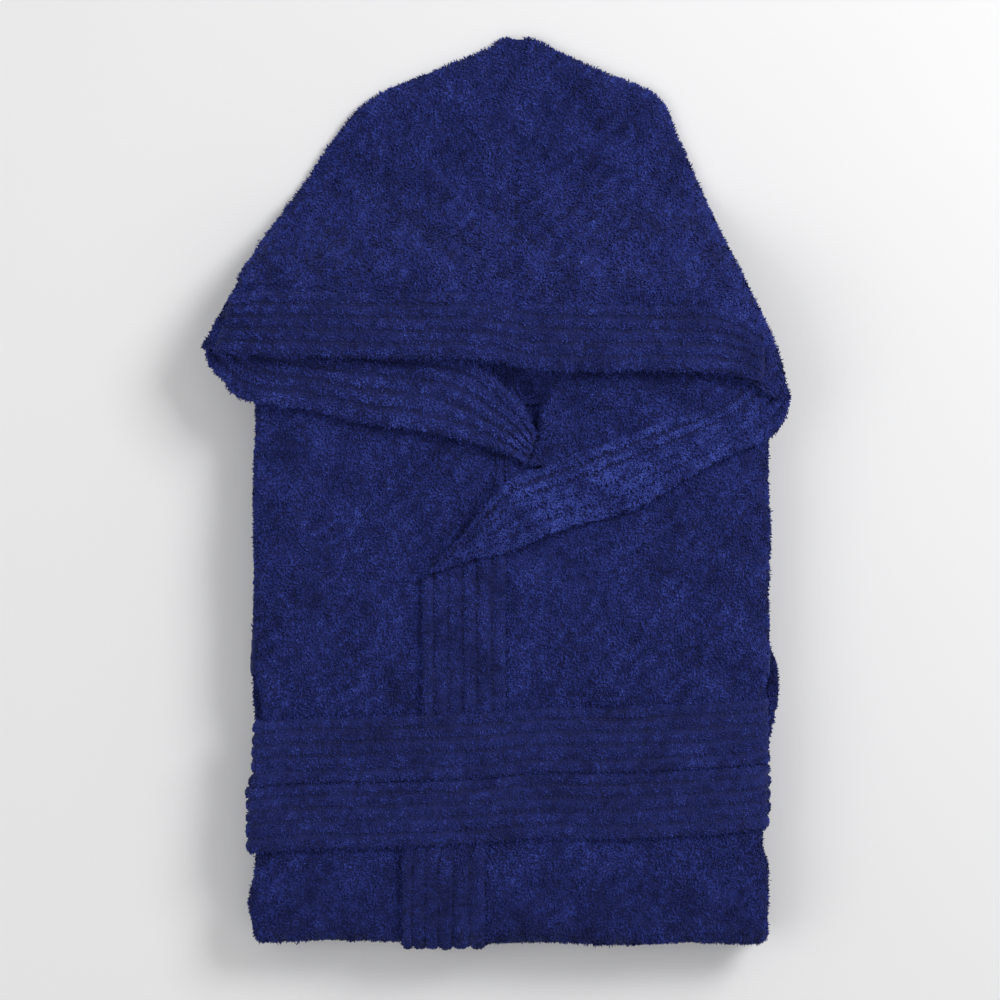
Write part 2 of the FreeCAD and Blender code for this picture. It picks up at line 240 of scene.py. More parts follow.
def pillows(across, rows, edge, fullness, base):
    """Half thickness across a stitched band: base at every row of stitches, fuller
    between them as the root of a half sine, and rounded off at both edges as a quarter
    circle."""
    edge_round = 2.2
    marks = np.concatenate([[0.0], rows, [edge]])
    i = np.clip(np.searchsorted(marks, across, side="right") - 1, 0, len(marks) - 2)
    t = (across - marks[i]) / (marks[i + 1] - marks[i])
    full = base + fullness * np.sqrt(np.abs(np.sin(math.pi * np.clip(t, 0, 1))))
    from_edge = np.minimum(across, edge - across)
    return full * np.sqrt(np.clip(1 - (1 - np.clip(from_edge / edge_round, 0, 1)) ** 2, 0.04, 1))


# ---- materials ----
def linear(hex_colour):
    """sRGB hex to linear RGBA."""
    parts = [int(hex_colour[k:k + 2], 16) / 255 for k in (0, 2, 4)]
    return [c / 12.92 if c <= 0.04045 else ((c + 0.055) / 1.055) ** 2.4 for c in parts] + [1.0]


def add(tree, kind, settings=None, links=None):
    """Adds a node. Settings are its own values or its sockets' values, and links feed
    its sockets from other nodes' outputs."""
    made = tree.nodes.new(kind)
    for key, value in (settings or {}).items():
        if isinstance(key, str) and hasattr(made, key):
            setattr(made, key, value)
        else:
            made.inputs[key].default_value = value
    for key, (source, output) in (links or {}).items():
        tree.links.new(source.outputs[output], made.inputs[key])
    return made


def blank_material(name):
    """A material without nodes but the one that gives Object coordinates."""
    made = bpy.data.materials.new(name)
    made.use_nodes = True
    tree = made.node_tree
    tree.nodes.clear()
    return made, tree, (add(tree, "ShaderNodeTexCoord"), "Object")


def ramp(tree, value, *stops):
    """Colours a value: each stop is a place along it and an sRGB hex colour. The first
    two stops are the ramp's own, and the others are put between or after them."""
    made = add(tree, "ShaderNodeValToRGB", {}, {"Fac": value})
    points = made.color_ramp.elements
    for k, (place, hex_colour) in enumerate(stops):
        point = points[k] if k < 2 else points.new(place)
        point.position = place
        point.color = linear(hex_colour)
    return made


def surface(tree, shader):
    """Makes the shader the material's surface."""
    add(tree, "ShaderNodeOutputMaterial", {}, {"Surface": (shader, 0)})


def terry(name, dark, mid, light, lit, bump, with_pile):
    """Looped cotton towelling, vat-dyed navy. The loops throw light in all directions,
    so it is fully rough with a soft sheen. With pile, the loops are painted darker
    towards their roots, a painted shade down between them, and patches a few
    centimetres wide lean another way and look lighter."""
    loop_pitch, clump_pitch, patch_pitch = 1.9, 5.5, 45
    made, tree, place = blank_material(name)
    loops = add(tree, "ShaderNodeTexVoronoi",
                {"Scale": 1 / (loop_pitch * MM), "Randomness": 1.0}, {"Vector": place})
    clumps = add(tree, "ShaderNodeTexNoise",
                 {"Scale": 1 / (clump_pitch * MM), "Detail": 3.0, "Roughness": 0.6},
                 {"Vector": place})
    patches = add(tree, "ShaderNodeTexNoise",
                  {"Scale": 1 / (patch_pitch * MM), "Detail": 3.0, "Roughness": 0.55},
                  {"Vector": place})
    soft = add(tree, "ShaderNodeMath", {"operation": "MULTIPLY", 1: 0.42},
               {0: (patches, "Fac")})
    value = add(tree, "ShaderNodeMath", {"operation": "MULTIPLY_ADD", 1: 0.58},
                {0: (clumps, "Fac"), 2: (soft, 0)})
    if with_pile:
        # Painted shade: rise goes from 0 at the foot of each loop to 1 at its tip, so the roots
        # down between the loops come out darker.
        rise = add(tree, "ShaderNodeAttribute", {"attribute_name": "rise"})
        tone = add(tree, "ShaderNodeAttribute", {"attribute_name": "tone"})
        own = add(tree, "ShaderNodeMath", {"operation": "MULTIPLY", 1: 0.34},
                  {0: (tone, "Fac")})
        per_tuft = add(tree, "ShaderNodeMath", {"operation": "MULTIPLY_ADD", 1: 0.38},
                       {0: (rise, "Fac"), 2: (own, 0)})
        value = add(tree, "ShaderNodeMath", {"operation": "MULTIPLY_ADD", 1: 0.62},
                    {0: (value, 0), 2: (per_tuft, 0)})
    colour = ramp(tree, (value, 0), (0.28, dark), (0.80, light), (0.52, mid), (1.0, lit))
    shader = add(tree, "ShaderNodeBsdfPrincipled",
                 {"Roughness": 0.92, "IOR": 1.45, "Sheen Weight": 0.35,
                  "Sheen Roughness": 0.45, "Specular IOR Level": 0.25},
                 {"Base Color": (colour, "Color")})
    shader.inputs["Sheen Tint"].default_value = linear("8089b8")
    if bump:
        relief = add(tree, "ShaderNodeBump",
                     {"Strength": 0.8, "Distance": bump * MM, "invert": True},
                     {"Height": (loops, "Distance")})
        tree.links.new(relief.outputs[0], shader.inputs["Normal"])
    surface(tree, shader)
    return made


def sewing_thread():
    """Mercerised cotton sewing thread: smoother than the cloth, with a faint gloss, and
    twisted, which shows as fine slanting stripes."""
    made, tree, place = blank_material("mercerised_sewing_thread")
    twist = add(tree, "ShaderNodeTexWave", {"Scale": 1 / (1.1 * MM), "Distortion": 1.0,
                                            "bands_direction": "DIAGONAL"},
                {"Vector": place})
    colour = ramp(tree, (twist, "Fac"), (0.0, "1a2252"), (1.0, "2b3673"))
    surface(tree, add(tree, "ShaderNodeBsdfPrincipled", {"Roughness": 0.55, "IOR": 1.5},
                      {"Base Color": (colour, "Color")}))
    return made


def woven_tape():
    """Plain-woven cotton tape: flat and matt, with ribs across it that show as soft
    stripes, drawn coarser than the weave so that they can be seen."""
    made, tree, place = blank_material("plain_woven_cotton_tape")
    ribs = add(tree, "ShaderNodeTexWave", {"Scale": 1 / (2.5 * MM), "Distortion": 0.6,
                                           "Detail": 2.0}, {"Vector": place})
    colour = ramp(tree, (ribs, "Fac"), (0.0, "151c47"), (1.0, "232e66"))
    bump = add(tree, "ShaderNodeBump", {"Strength": 0.4, "Distance": 0.3 * MM},
               {"Height": (ribs, "Fac")})
    surface(tree, add(tree, "ShaderNodeBsdfPrincipled", {"Roughness": 0.8, "IOR": 1.45},
                      {"Base Color": (colour, "Color"), "Normal": (bump, 0)}))
    return made


def seamless_paper():
    """Matt white background paper, very slightly uneven."""
    made, tree, place = blank_material("matt_white_paper")
    cloud = add(tree, "ShaderNodeTexNoise", {"Scale": 3.0, "Detail": 2.0},
                {"Vector": place})
    colour = ramp(tree, (cloud, "Fac"), (0.0, "ebebec"), (1.0, "f0f0f1"))
    surface(tree, add(tree, "ShaderNodeBsdfPrincipled", {"Roughness": 0.85},
                      {"Base Color": (colour, "Color")}))
    return made


# The bare cloth's colours are darker than the pile's: a painted shade for where it shows down
# between the loops.
towelling = terry("navy_terry_towelling", "0e1235", "1a2157", "252e71", "2e3880", 0.7, False)
towelling_pile = terry("navy_terry_pile", "121846", "1b2361", "2f3b8b", "4859b6", 0, True)
thread = sewing_thread()
tape = woven_tape()


# ---- making pieces ----
def new_piece(name, points, faces, material):
    """A smooth mesh object from points in millimetres and faces as rows of indices.
    Nothing reaches lower than a hair above the floor."""
    points[:, 2] = np.maximum(points[:, 2], 0.05)
    mesh = bpy.data.meshes.new(name)
    mesh.from_pydata((points * MM).tolist(), [], faces.tolist())
    mesh.polygons.foreach_set("use_smooth", np.ones(len(mesh.polygons), bool))
    mesh.materials.append(material)
    made = bpy.data.objects.new(name, mesh)
    bpy.context.scene.collection.objects.link(made)
    return made


def shell(name, mid, above, below, material):
    """Closed cloth round a grid of points: one face at a distance above along the
    normals, one below, and a rim between them on all four sides."""
    rows, columns = mid.shape[:2]
    normal = grid_normals(mid)
    top = mid + normal * np.broadcast_to(above, (rows, columns))[..., None]
    low = mid - normal * np.broadcast_to(below, (rows, columns))[..., None]
    count = rows * columns
    index = np.arange(count).reshape(rows, columns)
    a, b = index[:-1, :-1].ravel(), index[1:, :-1].ravel()
    c, d = index[1:, 1:].ravel(), index[:-1, 1:].ravel()
    ring = np.concatenate([index[:, 0], index[-1, 1:], index[-2::-1, -1], index[0, -2:0:-1]])
    after = np.roll(ring, -1)
    faces = np.vstack([np.stack([a, b, c, d], 1), count + np.stack([d, c, b, a], 1),
                       np.stack([ring, ring + count, after + count, after], 1)])
    made = new_piece(name + "_cloth", np.vstack([top.reshape(-1, 3), low.reshape(-1, 3)]),
                     faces, material)
    return made, top, low, normal


def tufts(name, base, normal, lean, length, width, rng, tone, body):
    """Loops of pile: each is a small bent blade with a wide foot, a bend at three fifths
    of its length and a narrow tip that curls back towards the cloth."""
    side = unit(np.cross(lean, normal) + rng.normal(0, 0.35, base.shape))
    half = side * (width * 0.5)[:, None]
    out = lean * length[:, None]
    curl = normal * (length * rng.uniform(-0.25, 0.2, len(base)))[:, None]
    bend = base + out * 0.6 + normal * (0.12 * length)[:, None]
    rings = [base - half - normal * 0.25, base + half - normal * 0.25,
             bend - half * 0.9, bend + half * 0.9, base + out + curl]
    points = np.stack(rings, 1).reshape(-1, 3)
    first = np.arange(len(base))[:, None] * 5
    faces = np.vstack([first + np.array([[0, 1, 3]]), first + np.array([[0, 3, 2]]),
                       first + np.array([[2, 3, 4]])])
    made = new_piece(name, points, faces, towelling_pile)
    # Painted shade: the material darkens each blade towards its foot by this rise.
    rise = np.tile([0.0, 0.0, 0.6, 0.6, 1.0], len(base))
    tone = np.repeat(tone, 5)
    side_cells = math.ceil(math.sqrt(len(base)))
    cell = np.arange(len(base))
    corner = np.stack([cell % side_cells, cell // side_cells], 1)[:, None]
    blade = np.array([[0.1, 0.05], [0.9, 0.05], [0.15, 0.5], [0.85, 0.5], [0.5, 0.95]])
    places = ((corner + blade) / side_cells).reshape(-1, 2)
    made.data.uv_layers.new(name="OFBake").data.foreach_set(
        "uv", places[faces.ravel()].astype(np.float32).ravel())
    for label, values in (("rise", rise), ("tone", tone)):
        store = made.data.attributes.new(label, "FLOAT", "POINT")
        store.data.foreach_set("value", values.astype(np.float32))
    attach(made, body)
    return made


seeds = iter(range(100, 10000))  # one for each call that scatters loops
MOST_TUFTS = 60000  # in one mesh
TUFTS_PER_MM2 = 0.92
all_pile = {}  # a piece's name, and the pile, fringes and stitching on it


def nap(piece, surface, normal, body, density=1.0, keep=None, length=2.2, upright=0.0,
        shade=0.0):
    """Covers a grid of points with pile, density tufts to the square millimetre where
    keep, one number per cell, is 1. Neighbouring tufts lean nearly alike, and the way
    they lean turns slowly from patch to patch. Their tone, which the material reads, is
    a random part, the patch, small clumps and shade, a number or a function of x and
    y, which lightens chosen pieces as painted light. Towards the bottom fold the tone is
    lowered, a painted shade, and a few loops catch the light."""
    rng = np.random.default_rng(next(seeds))
    a, b = surface[:-1, :-1], surface[1:, :-1]
    c, d = surface[1:, 1:], surface[:-1, 1:]
    area = np.linalg.norm(np.cross(c - a, d - b), axis=-1) / 2
    wanted = TUFTS_PER_MM2 * area * density * (1 if keep is None else keep)
    counts = rng.poisson(wanted).ravel()
    cell = np.repeat(np.arange(counts.size), counts)
    u, v = rng.random((2, len(cell), 1))

    def blend_corners(grid):
        """Values of the grid at every tuft, from the four corners of its cell."""
        flat = [g.reshape(-1, 3)[cell] for g in (grid[:-1, :-1], grid[1:, :-1],
                                                grid[1:, 1:], grid[:-1, 1:])]
        return (flat[0] * (1 - u) * (1 - v) + flat[1] * u * (1 - v) + flat[2] * u * v
                + flat[3] * (1 - u) * v)

    base, up = blend_corners(surface), unit(blend_corners(normal))
    x, y = base[:, 0], base[:, 1]
    heading = (2.4 * ripple(x, y, 60, 21) + 1.5 * ripple(x, y, 16, 22)
               + rng.normal(0, 0.9, len(x)))
    flat_a = unit(np.cross(up, np.array([0.31, 0.95, 0.05])))
    flat_b = np.cross(up, flat_a)
    patch = 0.6 * ripple(x, y, 34, 23) + 0.6 * ripple(x, y, 11, 24)
    mean_tilt, least_tilt, most_tilt = 58 - upright, 8, 82
    tilt = mean_tilt + 9 * patch + rng.normal(0, 11, len(x))
    tilt = np.radians(np.clip(tilt, least_tilt, most_tilt))[:, None]
    # Painted shade: the pile is made darker towards the bottom fold, where less light falls on
    # it.
    painted_bottom_shade = 0.22 * smooth_step(-y, 250, 292)
    # Painted light: shade raises the tone of the pieces given it, so that their pile looks more
    # brightly lit.
    own_shade = shade(x, y) if callable(shade) else shade
    tone = 0.31 + 0.34 * rng.random(len(x)) + 0.17 * patch + 0.1 * ripple(x, y, 5.0, 26)
    tone += own_shade - painted_bottom_shade
    tone += 0.55 * (rng.random(len(x)) < 0.012)
    tone = np.clip(tone, 0, 1.4)
    way = flat_a * np.cos(heading)[:, None] + flat_b * np.sin(heading)[:, None]
    lean = up * np.cos(tilt) + way * np.sin(tilt)
    longer = length * rng.uniform(0.65, 1.3, len(x))
    order = rng.permutation(len(x))
    grown = all_pile.setdefault(piece.name, [])
    for pick in np.array_split(order, max(1, math.ceil(len(x) / MOST_TUFTS))):
        grown.append(tufts(f"{piece.name}_pile_{len(grown) + 1}", base[pick], up[pick],
                           lean[pick], longer[pick], rng.uniform(0.74, 1.3, len(pick)), rng,
                           tone[pick], body))


def fringe(piece, line, outward, body, per_mm, length):
    """Loops that stand out from an edge: scattered along a line of points, pointing
    outward with some scatter up and sideways."""
    rng = np.random.default_rng(next(seeds))
    along = distances(line)
    count = int(along[-1] * per_mm)
    at = rng.uniform(0, along[-1], count)
    base, out = read_off(at, along, line), unit(read_off(at, along, outward))
    base = base + rng.normal(0, 0.5, base.shape) - out * 0.6
    lean = unit(out + rng.normal(0, 0.42, base.shape))
    up = unit(np.cross(lean, rng.normal(0, 1, base.shape)))
    grown = all_pile.setdefault(piece.name, [])
    grown.append(tufts(f"{piece.name}_fringe_{len(grown) + 1}", base, up, lean,
                       length * rng.uniform(0.5, 1.35, count), rng.uniform(0.6, 1.1, count),
                       rng, rng.uniform(0.1, 0.7, count), body))


def stitches(piece, lines, normals, body):
    """Rows of lock stitches: each stitch is a thread lens, six points and eight faces,
    lying in the valley that it pulls into the cloth."""
    shape = np.array([[-1, 0, 0], [0, -1, 0.15], [0, 0, 1], [0, 1, 0.15], [0, 0, -0.6],
                      [1, 0, 0]])
    corners = np.array([[0, 2, 1], [0, 3, 2], [0, 4, 3], [0, 1, 4], [5, 1, 2], [5, 2, 3],
                        [5, 3, 4], [5, 4, 1]])
    points, faces, first = [], [], 0
    for line, up in zip(lines, normals):
        along = distances(line)
        at = np.arange(stitch_pitch / 2, along[-1], stitch_pitch)
        centre, rise = read_off(at, along, line), unit(read_off(at, along, up))
        way = unit(read_off(at + 0.5, along, line) - centre + 1e-6)
        axes = np.stack([way * 1.35, np.cross(rise, way) * 0.4, rise * 0.35], 1)
        placed = centre[:, None] + np.einsum("vk,skc->svc", shape, axes) + rise[:, None] * 0.2
        points.append(placed.reshape(-1, 3))
        index = first + np.arange(len(at))[:, None, None] * 6 + corners[None]
        faces.append(index.reshape(-1, 3))
        first += len(at) * 6
    made = new_piece(piece.name + "_stitching", np.vstack(points), np.vstack(faces), thread)
    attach(made, body)
    all_pile.setdefault(piece.name, []).append(made)


def declare(piece, node, body, blending=None):
    """Attaches a piece of cloth to the body that it moves with and hides the CAD node that
    it stands for. A piece given blending is freed from its body instead, with its pile and its
    stitching, and its place is baked into its mesh."""
    for part in [piece] + all_pile.get(piece.name, []) if blending else [piece]:
        if blending:
            part.parent = None
            if "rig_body" in part:
                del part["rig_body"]
            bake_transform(part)
        else:
            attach(part, body)
    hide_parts(node)


# ---- the folded robe ----
def panel(node, edge_x, sign, face_depth, flap_depth, columns=46):
    """One panel of the robe: from its straight edge out to the side of the fold, round
    that side in a half circle, and back as the flap, all carried down the zigzag."""
    side_x = body_right if sign > 0 else body_left
    radius = (flap_depth - face_depth) / 2
    centre_x = side_x - sign * (radius + face_depth)
    turn = np.linspace(0, math.pi, 9)
    across = np.concatenate([np.linspace(edge_x, centre_x, columns), np.full(7, centre_x),
                             np.linspace(centre_x, centre_x - sign * (flap_width - 10), 9)])
    depth = np.concatenate([np.full(columns, face_depth), np.zeros(7),
                            np.full(9, flap_depth)])
    across[columns:columns + 7] += sign * radius * np.sin(turn[1:-1])
    depth[columns:columns + 7] = face_depth + radius * (1 - np.cos(turn[1:-1]))
    s = run_stations()
    grid_s, grid_depth = np.meshgrid(s, depth, indexing="ij")
    y, z = zigzag(grid_s, grid_depth)
    x = np.broadcast_to(across, y.shape)
    mid = soften(np.stack([x, y, z], -1))
    if grid_normals(mid)[3, 5, 2] < 0:
        mid, grid_s, x = mid[:, ::-1], grid_s[:, ::-1], x[:, ::-1]
    made, top, _, normal = shell(node, mid, 0.9, 0.9, towelling)
    return made, top, normal, grid_s, x


def cell_mean(values):
    """The mean of the four corners of each cell of a grid."""
    return (values[:-1, :-1] + values[1:, :-1] + values[1:, 1:] + values[:-1, 1:]) / 4


def robe_panel(node, edge_x, sign, face_depth, flap_depth):
    """A front panel with its pile: full where its face is up and along the side fold,
    thin under the hood, and none under the lap. Loops fringe the side, both ends and
    the middle of the bottom fold."""
    made, outer, outward, grid_s, x = panel(node, edge_x, sign, face_depth, flap_depth)
    face_up_here = 1 - smooth_step(grid_s, stations[2] - 8, stations[2])
    on_face = cell_mean(face_up_here * (outward[:, :, 2] > -0.2))
    side_x = body_right if sign > 0 else body_left
    near_side = cell_mean((np.abs(x - side_x) < 16).astype(float))
    lapped = (x > lap_x + 8) & (grid_s > shoulder_y + 70) & (sign < 0)
    under_hood = grid_s < 38
    seen = cell_mean(np.where(lapped, 0.0, np.where(under_hood, 0.35, 0.95)))
    nap(made, outer, outward, "robe", 1.0, np.clip(on_face * seen + 0.5 * near_side, 0, 1))
    column = int(np.argmax(sign * x[5]))
    fringe(made, outer[:, column], outward[:, column], "robe", 1.8, 2.6)
    for end in (0, -1):
        fringe(made, outer[end], outer[end] - outer[end + (1 if end == 0 else -1)], "robe",
               2.2, 2.4)
    row = int(np.argmin(np.abs(grid_s[:, 0] - (stations[1] + turn_1 * 0.5))))
    fringe(made, outer[row], outward[row], "robe", 2.6, 2.8)
    declare(made, node, "robe")
    return made


def back():
    """The back panel, folded with flaps at both sides and carried down the zigzag."""
    s = run_stations(8.0, 16.0)
    face, flap = 2.5 * cloth, 3.5 * cloth
    radius = cloth / 2
    left_c = body_left + cloth + radius + cloth / 2
    right_c = body_right - cloth - radius - cloth / 2
    turn = np.linspace(0, math.pi, 7)[1:-1]
    x = np.concatenate([np.linspace(left_c + flap_width - 12, left_c, 8),
                        left_c - radius * np.sin(turn), np.linspace(left_c, right_c, 40),
                        right_c + radius * np.sin(turn),
                        np.linspace(right_c, right_c - flap_width + 12, 8)])
    depth = np.concatenate([np.full(8, flap), face + radius * (1 + np.cos(turn)),
                            np.full(40, face), face + radius * (1 - np.cos(turn)),
                            np.full(8, flap)])
    grid_s, grid_depth = np.meshgrid(s, depth, indexing="ij")
    y, z = zigzag(grid_s, grid_depth)
    mid = soften(np.stack([np.broadcast_to(x, y.shape), y, z], -1))
    made = shell("back_panel", mid, 0.9, 0.9, towelling)[0]
    for column, way in ((10, -1.0), (-11, 1.0)):
        outward = np.array([[way, 0, 0]]).repeat(len(mid), 0)
        fringe(made, mid[:, column], outward, "robe", 1.0, 2.4)
    declare(made, "back_panel", "robe")
    return made


def stitched_band(node, low_edge, high_edge, width, rows, body, flat, held, rests,
                  thick, base, density=1.0, blending=None, both=False, settle=True,
                  pit=False, pile_length=1.9, shown=None, shade=0.0):
    """A band of doubled cloth with rows of stitches along it, ruled between two edge
    lines that have equal numbers of points. Its face is pillowed between the rows and
    pinched at both edges. Pile grows between the rows, on both faces if so asked and
    only where shown, one number per point of the edge, is not 0. Threads lie in the
    rows."""
    steps, bare_beside_row, pile_lost = 6, 1.6, 0.9
    centre = (low_edge + high_edge) / 2
    peak = int(np.argmax(centre[2:-2, 2])) + 2
    way = centre[peak + 1] - centre[peak - 1]
    if np.cross(way, high_edge[peak] - low_edge[peak])[2] < 0:
        low_edge, high_edge, rows = high_edge, low_edge, width - rows[::-1]
    marks = np.concatenate([[0.0], rows, [width]])
    across = np.unique(np.concatenate(
        [np.linspace(a, b, steps + 1) for a, b in zip(marks[:-1], marks[1:])]))
    t = (across / width)[None, :, None]
    mid = low_edge[:, None] * (1 - t) + high_edge[:, None] * t
    if settle:
        mid = soften(mid, pit)
    half = pillows(across, np.array(rows), width, thick - base, base)
    taper = np.ones(len(mid))
    taper[0] = taper[-1] = 0.35
    half = half[None, :] * taper[:, None]
    made, top, low, normal = shell(node, mid, half, half * 0.6, towelling)
    to_row = np.min(np.abs(across[None, :] - np.array(rows)[:, None]), axis=0)
    in_row = to_row < bare_beside_row
    free = cell_mean(np.broadcast_to(1 - pile_lost * in_row, top.shape[:2]))
    if shown is not None:
        free = free * shown[:-1, None]
    nap(made, top, normal, body, density, free, pile_length, shade=shade)
    if both:
        nap(made, low, -normal, body, density * 0.4, free, pile_length)
    spots = [int(np.argmin(np.abs(across - r))) for r in rows]
    stitches(made, [top[:, k] for k in spots], [normal[:, k] for k in spots], body)
    for edge, within in ((0, 1), (-1, -2)):
        fringe(made, mid[:, edge], unit(mid[:, edge] - mid[:, within]), body, 2.0, 2.3)
    declare(made, node, body, blending)


def front_band(node, x_low, x_high, depth, rests, low_start=0.0, high_start=0.0):
    """A front band: straight down the zigzag, with its top end cut on a slant where the
    collar carries on from it."""
    edges = []
    for x, start in ((x_high, high_start), (x_low, low_start)):
        s = run_stations(5.0, 16.0)
        s = start + s * (1 - start / stations[1]) * (s < stations[1]) + (s - start) * (
            s >= stations[1])
        y, z = zigzag(s, np.full(len(s), depth))
        edges.append(np.stack([np.full(len(s), x), y, z], 1))
    rows = np.array([9.5, 20.0, 30.0, 40.0, 50.0])
    run = run_stations(5.0, 16.0)
    shown = np.where(run < (stations[2] if depth < cloth else stations[1] * 0.5), 1.0, 0.08)
    stitched_band(node, edges[0], edges[1], band_width, rows, "robe",
                  (band_width, stations[-1]), "folded", rests, thick=2.8, base=0.9,
                  pit=True, shown=shown, pile_length=1.6)


back_panel = back()
right_front = robe_panel("right_front_panel", 0.0, -1, 1.5 * cloth, 4.5 * cloth)
left_front = robe_panel("left_front_panel", band_seam_x, 1, 0.5 * cloth, 4.5 * cloth)
front_band("right_front_band", 0.0, band_width, 1.5 * cloth, [back_panel])
front_band("left_front_band", lap_x, band_seam_x, -0.15 * cloth, [right_front],
           shoulder_y + 53, shoulder_y + 8)


# ---- the belt ----
def winding():
    """Plan of the belt's middle line: it comes from under the folded skirt, crosses the
    front, goes round behind, crosses the front again lower down and ends under the
    skirt. Each leg is x, y and z of the ends; the corners are rounded."""
    left_x, right_x = body_left - 2.3, body_right + 2.3
    top, behind, tail = belt_high[2] - 0.2, 20.7, 18.1
    upper_l, upper_r = belt_low[1] + 67.8, belt_low[1] + 67.8 + belt_rise
    lower_l = belt_low[1] + belt_width / 2 - 0.5
    lower_r = lower_l + belt_rise
    corners = [(left_x + belt_tail, upper_l, tail), (left_x, upper_l, tail),
               (left_x, upper_l, top), (right_x, upper_r, top), (right_x, upper_r, behind),
               (left_x, lower_l, behind), (left_x, lower_l, top), (right_x, lower_r, top),
               (right_x, lower_r, tail), (right_x - belt_tail, lower_r, tail)]
    points = []
    p = np.array(corners, float)
    for k in range(len(p)):
        if k in (0, len(p) - 1):
            points.append(p[k:k + 1])
            continue
        a, b = unit(p[k - 1] - p[k]), unit(p[k + 1] - p[k])
        turn = np.linspace(0, 1, 9)[:, None]
        reach = min(7.0, abs(p[k + 1, 2] - p[k, 2]) / 2.2 if k % 2 else 7.0)
        reach = min(reach, np.linalg.norm(p[k] - p[k - 1]) / 2.2,
                    np.linalg.norm(p[k + 1] - p[k]) / 2.2)
        start, end = p[k] + a * reach, p[k] + b * reach
        points.append(start * (1 - turn) ** 2 + p[k] * 2 * turn * (1 - turn) + end * turn ** 2)
    line = np.vstack(points)
    along = distances(line)
    want = np.unique(np.concatenate([along, np.linspace(0, along[-1], 330)]))
    return read_off(want, along, line), along[-1]


belt_line, belt_length = winding()
along_x = belt_line[:, 0]
# In front the belt dips beside the front band and lies proud on it, but not at the sides.
sag = 1.5 * smooth_step(-along_x, 50, 66) - 1.4 * (
    smooth_step(along_x, -58, -46) - smooth_step(along_x, 4, 16))
level_sides = smooth_step(165 - np.abs(along_x - body_mid), 0, 12)
belt_line[:, 2] -= np.where(belt_line[:, 2] > 45, sag * level_sides, 0)
belt_line[:, 1] += 1.2 * ripple(along_x, along_x * 0, 120, 31)
belt_side = np.array([0.0, belt_width / 2, 0.0])
stitched_band("belt", belt_line - belt_side, belt_line + belt_side, belt_width,
              np.array([9.0, 19.0, 28.2, 37.3]), "belt_wrap", (belt_width, belt_length),
              "folded", [left_front, right_front], thick=2.4, base=0.7, both=True,
              pile_length=1.5, shown=np.where(belt_line[:, 2] > 26, 1.0, 0.15))


# ---- the hood ----
tip_y = 324.0
left_outline = [(-203.7, 101), (-187, 130.5), (-172, 162.8), (-153, 193), (-133, 221.6),
                (-114, 250), (-88, 279), (-43, 299), (-5, 315), (5, 322), (18, tip_y)]
right_outline = [(203.7, 64), (195, 99.8), (178, 138), (159, 181.7), (147, 211),
                 (130, 250), (115, 281), (78, 298), (46, 312), (30, 321), (18, tip_y)]
hood_seam = [(14, 62), (13, 140), (15, 230), (18, tip_y)]


def upper_height(y):
    """Height of the hood's upper layer: level, then down to the tip as a half cosine."""
    t = np.clip((y - 125) / (228 - 125), 0, 1)
    return 59.0 + (3.2 - 59.0) * (1 - np.cos(math.pi * t)) / 2


def lower_height(y):
    """Height of its lower layer, which comes down off the shoulder in the same way."""
    t = np.clip((y - 121) / (213 - 121), 0, 1)
    return 47.6 * (1 + np.cos(math.pi * t)) / 2


